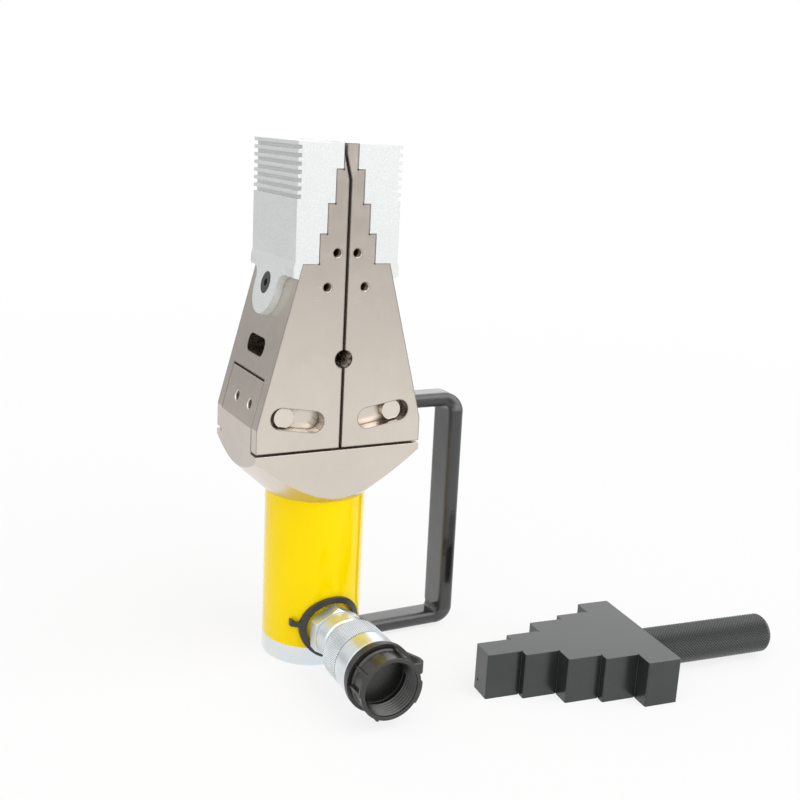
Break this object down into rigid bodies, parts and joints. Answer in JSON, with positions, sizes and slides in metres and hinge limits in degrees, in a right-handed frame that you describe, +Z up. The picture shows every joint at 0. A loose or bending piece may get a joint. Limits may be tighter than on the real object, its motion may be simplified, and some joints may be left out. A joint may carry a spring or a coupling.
{
  "type": "hydraulic flange spreader",
  "caption": "Hydraulic wedge flange spreader: a spring-return cylinder drives a wedge that parts two stepped jaws, with handle, coupler and safety block.",
  "frame": {"origin": "centre of the cylinder's flat bottom face", "axes": "+Z up along the cylinder towards the jaws' tips, the coupler points to -Y, the handle is on +X"},
  "size_m": [0.3011, 0.171, 0.2923],
  "materials": {
    "yellow_paint": "glossy enamel",
    "zinc_plate": "bright zinc plate",
    "nickel_plate": "satin nickel plate over ground steel",
    "blasted_steel": "bead-blasted zinc",
    "hard_chrome": "ground hard chrome",
    "black_enamel": "glossy dipped coating",
    "black_oxide": "satin black oxide",
    "screw_oxide": "oiled black oxide",
    "black_plastic": "moulded nylon",
    "seal_rubber": "matt",
    "bronze": "machined bronze",
    "spring_steel": "drawn wire"
  },
  "bodies": {
    "cylinder": {"base_plug": "zinc_plate", "base_o_ring": "seal_rubber", "cylinder_tube": "yellow_paint", "stop_ring": "bronze", "rod_wiper": "seal_rubber", "lower_spring_anchor": "zinc_plate", "return_spring": "spring_steel", "head_housing": "nickel_plate", "guide_pin_left": "nickel_plate", "guide_pin_right": "nickel_plate", "pin_grub_screws": "screw_oxide", "handle": "black_enamel", "handle_foot_screws": "screw_oxide", "handle_dowel": "zinc_plate", "port_nipple": "zinc_plate", "coupler_body": "zinc_plate", "tether_strap": "black_plastic"},
    "wedge_plunger": {"piston": "zinc_plate", "piston_seal": "seal_rubber", "wear_ring": "bronze", "plunger": "hard_chrome", "upper_spring_anchor": "zinc_plate", "wedge_stud": "screw_oxide", "wedge": "nickel_plate"},
    "left_jaw_body": {"left_jaw": "nickel_plate", "left_step_block": "blasted_steel", "left_block_screw": "screw_oxide"},
    "right_jaw_body": {"right_jaw": "nickel_plate", "right_step_block": "blasted_steel", "right_block_screw": "screw_oxide"},
    "collar": {"coupler_collar": "zinc_plate"},
    "poppet": {"coupler_poppet": "zinc_plate", "poppet_spring": "spring_steel"},
    "cap": {"dust_cap": "black_plastic"},
    "stand_block": {"safety_block": "black_oxide", "safety_block_grip": "black_oxide"}
  },
  "joints": [
    {"name": "wedge_slide", "type": "slide", "parent": "cylinder", "child": "wedge_plunger", "axis": [0, 0, 1], "range_m": [0, 0.054], "deforming": ["return_spring"]},
    {"name": "left_jaw_slide", "type": "slide", "parent": "cylinder", "child": "left_jaw_body", "axis": [-0.9866, 0, 0.1633], "range_m": [0, 0.01409]},
    {"name": "right_jaw_slide", "type": "slide", "parent": "cylinder", "child": "right_jaw_body", "axis": [0.9866, 0, 0.1633], "range_m": [0, 0.01409]},
    {"name": "collar_spin", "type": "hinge", "parent": "cylinder", "child": "collar", "pos_m": [0, -0.07, 0.0235], "axis": [0, -1, 0], "continuous": true},
    {"name": "poppet_slide", "type": "slide", "parent": "cylinder", "child": "poppet", "axis": [0, 1, 0], "range_m": [0, 0.003], "stiffness_N_per_m": 200, "springref_m": -0.002},
    {"name": "cap_spin", "type": "hinge", "parent": "cylinder", "child": "cap", "pos_m": [0, -0.09, 0.0235], "axis": [0, -1, 0], "continuous": true},
    {"name": "stand_block_lift", "type": "slide", "parent": "cylinder", "child": "stand_block", "axis": [0, 0, 1], "range_m": [0, 0.1]}
  ],
  "couplings": [
    {"joint": "left_jaw_slide", "follows": "wedge_slide", "ratio": 0.26006},
    {"joint": "right_jaw_slide", "follows": "wedge_slide", "ratio": 0.26006}
  ]
}
